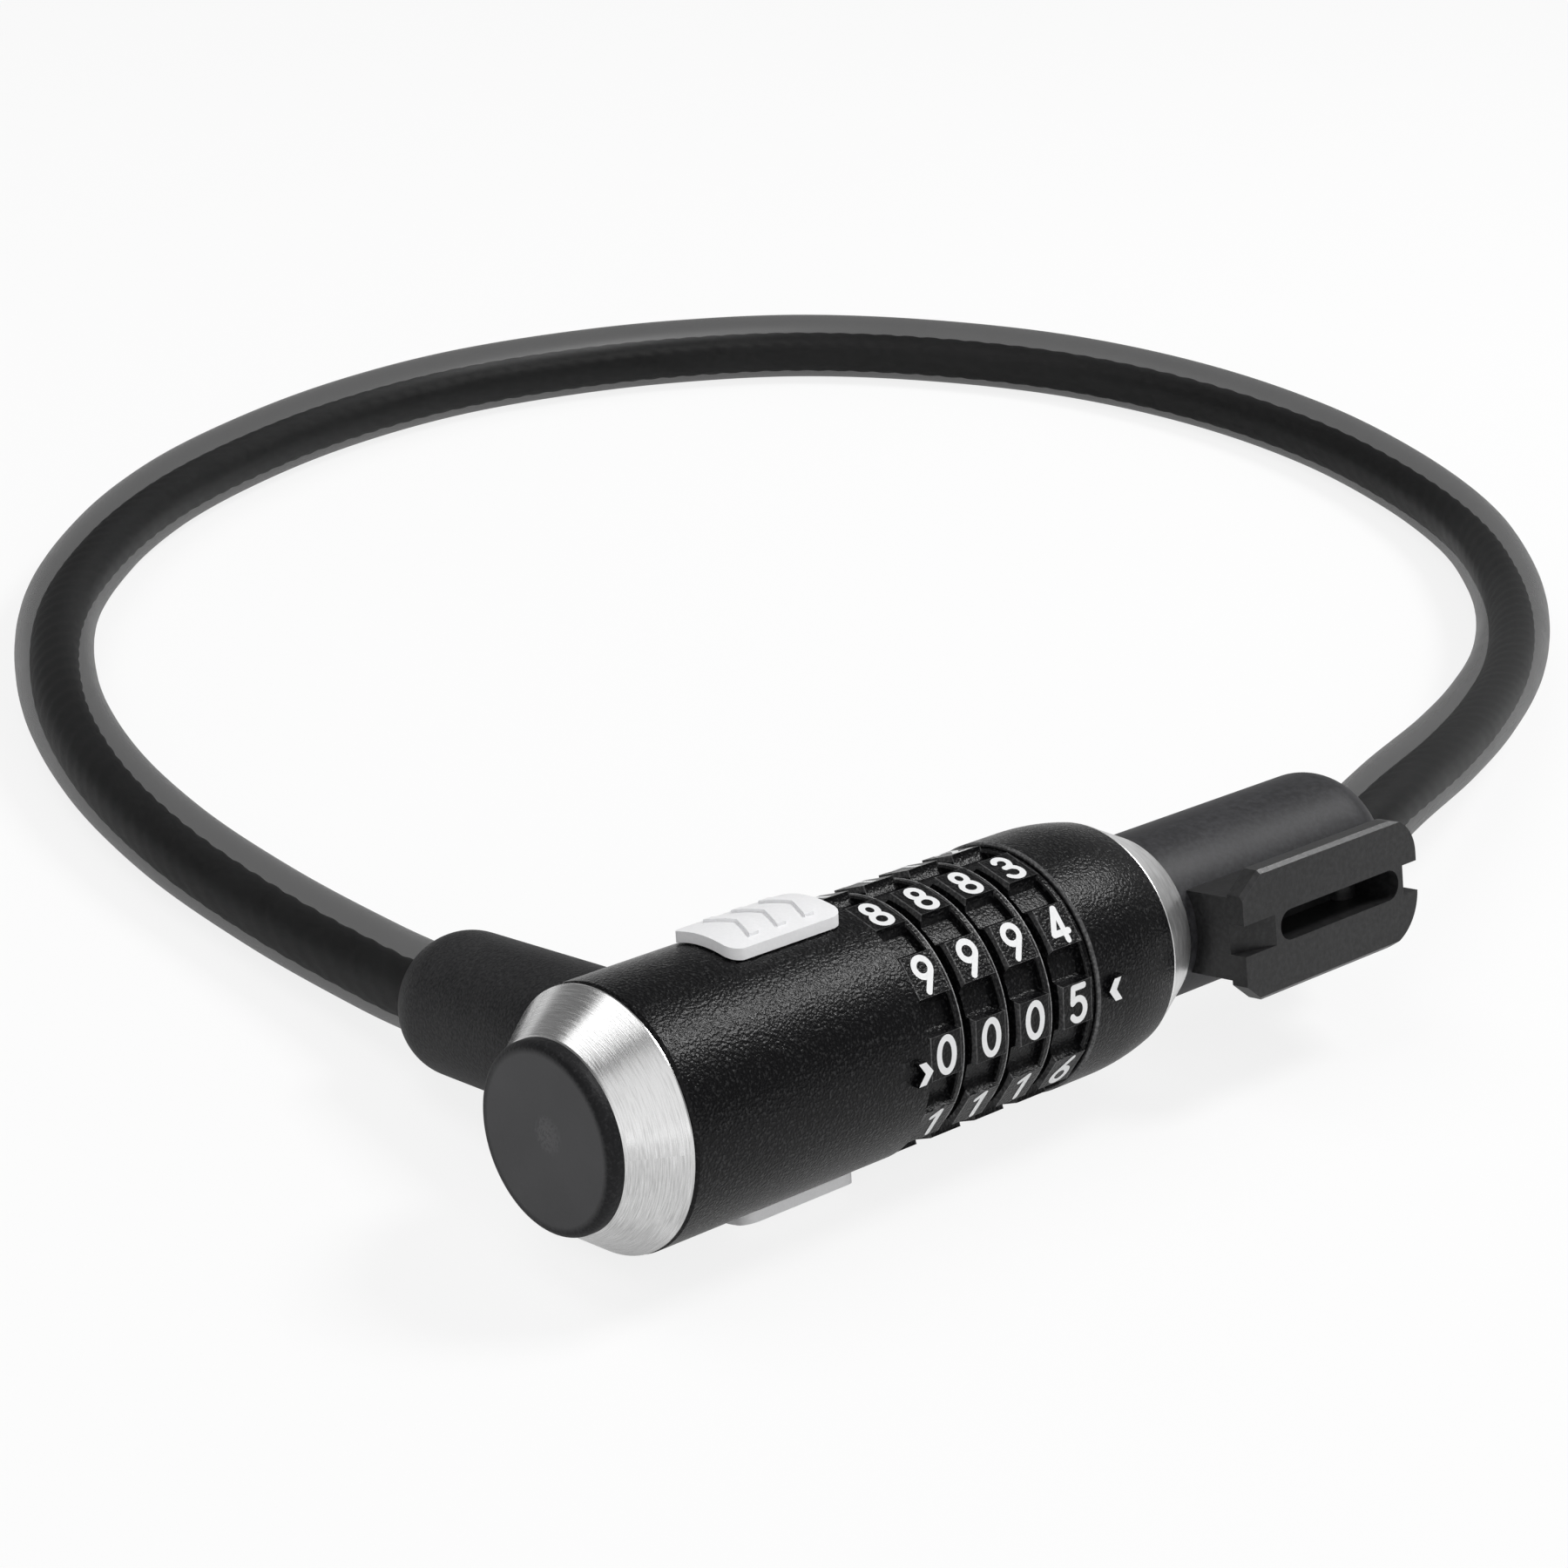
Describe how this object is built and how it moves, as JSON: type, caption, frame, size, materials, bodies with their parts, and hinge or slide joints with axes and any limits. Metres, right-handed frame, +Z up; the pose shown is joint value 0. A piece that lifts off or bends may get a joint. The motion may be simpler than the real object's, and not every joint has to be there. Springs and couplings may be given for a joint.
{
  "type": "combination cable lock",
  "caption": "Combination cable lock: cylindrical body with number dials and a release slider, a thick coated cable that plugs into its side, and a rail shoe for a frame bracket.",
  "frame": {"origin": "centre of the end plug's flat face, on the lock body's axis", "axes": "+X along the lock body towards the fixed end of the cable, +Z up as the lock lies on a table, +Y towards the side the cable loop lies on"},
  "size_m": [0.321, 0.2804, 0.038],
  "materials": {
    "plug_plastic": "moulded plastic, semi-matt",
    "turned_steel": "turned and brushed round its axis",
    "housing_coat": "black powder coat with a fine grain",
    "zinc_casting": "plain casting",
    "slider_finish": "silver, satin",
    "inner_steel": "zinc plated",
    "dial_coat": "black powder coat with a fine grain",
    "tumbler_brass": "machined",
    "sleeve_plastic": "smooth, matt",
    "shoe_plastic": "moulded plastic, satin",
    "boot_rubber": "matt, fine grain",
    "pin_steel": "hardened and plated",
    "cable_vinyl": "smoke grey vinyl, see-through to the rope",
    "wire_rope": "twisted steel wire rope"
  },
  "bodies": {
    "lock": {"end_plug": "plug_plastic", "front_cone": "turned_steel", "front_housing": "housing_coat", "socket_block": "zinc_casting", "bolt_spring": "inner_steel", "core_tube": "inner_steel", "core_nut": "inner_steel", "detent_spring": "inner_steel", "rear_housing": "housing_coat", "anchor_block": "zinc_casting", "rear_ring": "turned_steel", "cable_ferrule": "inner_steel", "sleeve": "sleeve_plastic", "bracket_shoe": "shoe_plastic", "boot": "boot_rubber", "locking_pin": "pin_steel", "cable_jacket": "cable_vinyl", "cable_core": "wire_rope"},
    "latch": {"slider_top": "slider_finish", "slider_bottom": "slider_finish", "slider_yoke": "zinc_casting", "bolt": "inner_steel", "bolt_clip": "inner_steel"},
    "wheel_1": {"dial_1": "dial_coat", "tumbler_1": "tumbler_brass"},
    "wheel_2": {"dial_2": "dial_coat", "tumbler_2": "tumbler_brass"},
    "wheel_3": {"dial_3": "dial_coat", "tumbler_3": "tumbler_brass"},
    "wheel_4": {"dial_4": "dial_coat", "tumbler_4": "tumbler_brass"}
  },
  "joints": [
    {"name": "slider_slide", "type": "slide", "parent": "lock", "child": "latch", "axis": [1, 0, 0], "range_m": [0, 0.004], "stiffness_N_per_m": 500, "springref_m": -0.004, "deforming": ["bolt_spring"]},
    {"name": "dial_1_spin", "type": "hinge", "parent": "lock", "child": "wheel_1", "pos_m": [0.05175, 0, 0], "axis": [1, 0, 0], "continuous": true},
    {"name": "dial_2_spin", "type": "hinge", "parent": "lock", "child": "wheel_2", "pos_m": [0.05965, 0, 0], "axis": [1, 0, 0], "continuous": true},
    {"name": "dial_3_spin", "type": "hinge", "parent": "lock", "child": "wheel_3", "pos_m": [0.06755, 0, 0], "axis": [1, 0, 0], "continuous": true},
    {"name": "dial_4_spin", "type": "hinge", "parent": "lock", "child": "wheel_4", "pos_m": [0.07545, 0, 0], "axis": [1, 0, 0], "continuous": true}
  ]
}
